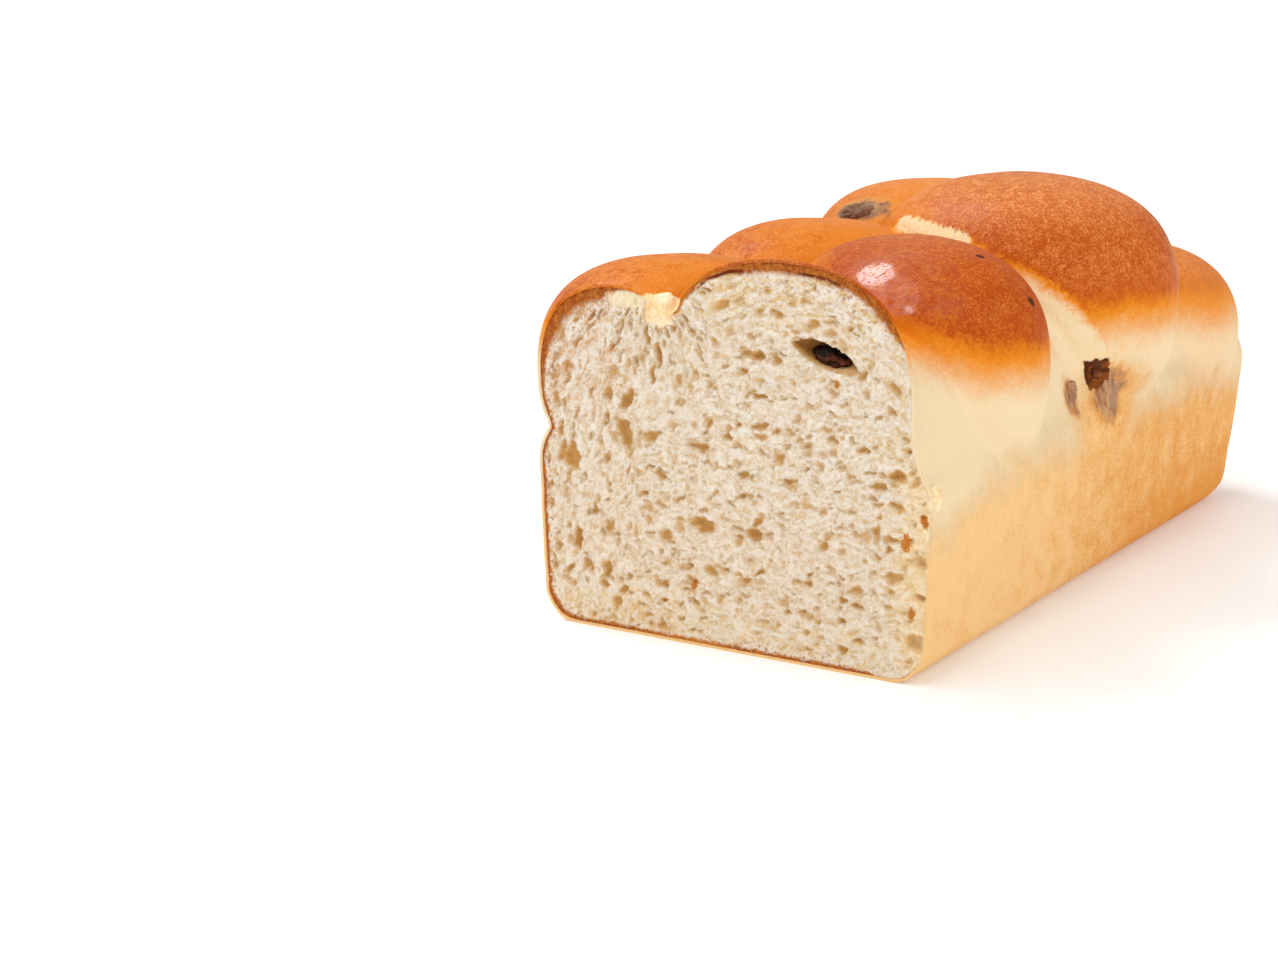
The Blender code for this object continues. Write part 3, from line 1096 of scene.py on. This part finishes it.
def filmed_material(looks):
    material, tree, shader = new_material("raisin_under_film", 0.5, 0.15)
    place, _, _, z = object_place(tree)
    colour = film_over_raisin(tree, place, looks.brown, looks.light)
    colour = tree.tint(colour, looks.dark, tree.ease(z, *DARK_FILM_RANGE) * DARK_FILM)
    surface(tree, shader, colour, tree.noise(place, 0.9, 3, 0.6), 0.15, 0.5)
    return material


class LOAF_OT_raisins(bpy.types.Operator):
    """Press the raisins into the loaf"""

    bl_idname = "loaf.raisins"
    bl_label = "Raisins"

    def execute(self, context):
        looks = context.scene.raisin_looks
        bare = {
            "raisin_cut": ("raisin_skin", looks.dark, looks.amber),
            "raisin_side_front": ("raisin_in_window", looks.glassy_dark, looks.glassy),
        }
        bare = {name: raisin_material(*look, LIT_BELOW[name]) for name, look in bare.items()}
        covered = filmed_material(looks)
        for seed, (name, shape) in enumerate(RAISINS.items()):
            raisin = add_ball(name + "_skin", 6, *shape)
            shape_by_nodes(raisin, shape_raisin(seed))
            coat(raisin, bare.get(name, covered))
            settle(raisin, "raisin", name)
        return {"FINISHED"}


def add_soft_box(name, azimuth, elevation, width, strength):
    """A far soft box as the loaf sees it, in degrees."""
    turn = (math.radians(90 - elevation), 0, math.radians(azimuth))
    bpy.ops.object.light_add(type="SUN", rotation=turn)
    light = bpy.context.object
    light.name = name
    light.data.angle = math.radians(width)
    light.data.energy = strength


def add_camera():
    azimuth, pitch = math.radians(CAMERA_AZIMUTH), math.radians(CAMERA_PITCH)
    level = math.cos(pitch)
    forward = Vector((-math.sin(azimuth) * level, math.cos(azimuth) * level, -math.sin(pitch)))
    right = Vector((math.cos(azimuth), math.sin(azimuth), 0))
    up = right.cross(forward)
    across = (NEAR_FOOT_PIXEL[0] - IMAGE_SIZE[0] / 2) / FOCAL_PIXELS
    down = (NEAR_FOOT_PIXEL[1] - IMAGE_SIZE[1] / 2) / FOCAL_PIXELS
    ray = forward + across * right - down * up
    bpy.ops.object.camera_add(location=NEAR_FOOT * MM - ray * NEAR_FOOT_DEPTH)
    camera = bpy.context.object
    camera.data.sensor_width = SENSOR
    camera.data.lens = FOCAL_PIXELS / IMAGE_SIZE[0] * SENSOR
    camera.rotation_euler = forward.to_track_quat("-Z", "Y").to_euler()
    bpy.context.scene.camera = camera


class LOAF_OT_studio(bpy.types.Operator):
    """Add the floor, the light and the camera"""

    bl_idname = "loaf.studio"
    bl_label = "Studio"

    def execute(self, context):
        looks = context.scene.studio_looks
        floor = add_mesh(bpy.ops.mesh.primitive_plane_add, "floor", size=FLOOR_SIZE_METRES)
        material, _, shader = new_material("floor", 0.6)
        shader.inputs["Base Color"].default_value = (*looks.floor, 1)
        shader.inputs["Emission Color"].default_value = (1, 1, 1, 1)
        shader.inputs["Emission Strength"].default_value = looks.floor_glow
        floor.data.materials.append(material)
        world = bpy.data.worlds.new("room")
        world.use_nodes = True
        background = world.node_tree.nodes["Background"]
        background.inputs["Color"].default_value = (1, 1, 1, 1)
        background.inputs["Strength"].default_value = looks.sky
        context.scene.world = world
        strengths = (looks.key, looks.shine, looks.shine * SECOND_SHINE, looks.side)
        for (name, seen), strength in zip(SOFT_BOXES.items(), strengths):
            add_soft_box(name, *seen, strength)
        add_camera()
        context.scene.view_settings.view_transform = "Standard"
        return {"FINISHED"}


STEPS = (LOAF_OT_crust, LOAF_OT_crumb, LOAF_OT_raisins, LOAF_OT_studio)
SETTINGS = {
    "crust_looks": CrustLooks,
    "crumb_looks": CrumbLooks,
    "raisin_looks": RaisinLooks,
    "studio_looks": StudioLooks,
}


class LOAF_PT_panel(bpy.types.Panel):
    """Lists the pieces of the loaf"""

    bl_label = "Brioche loaf"
    bl_idname = "LOAF_PT_panel"
    bl_space_type = "VIEW_3D"
    bl_region_type = "UI"
    bl_category = "Brioche"

    def draw(self, context):
        for settings in SETTINGS:
            group = getattr(context.scene, settings)
            box = self.layout.box()
            for name in group.bl_rna.properties.keys():
                if name not in ("rna_type", "name"):
                    box.prop(group, name)
        for step in STEPS:
            self.layout.operator(step.bl_idname)


def register():
    for group in SETTINGS.values():
        bpy.utils.register_class(group)
    for name, group in SETTINGS.items():
        setattr(bpy.types.Scene, name, PointerProperty(type=group))
    for step in (*STEPS, LOAF_PT_panel):
        bpy.utils.register_class(step)


def unregister():
    for step in (*STEPS, LOAF_PT_panel):
        bpy.utils.unregister_class(step)
    for name, group in SETTINGS.items():
        delattr(bpy.types.Scene, name)
        bpy.utils.unregister_class(group)


def main():
    register()
    bpy.ops.loaf.crust()
    bpy.ops.loaf.crumb()
    bpy.ops.loaf.raisins()
    bpy.ops.loaf.studio()


if __name__ == "__main__":
    main()
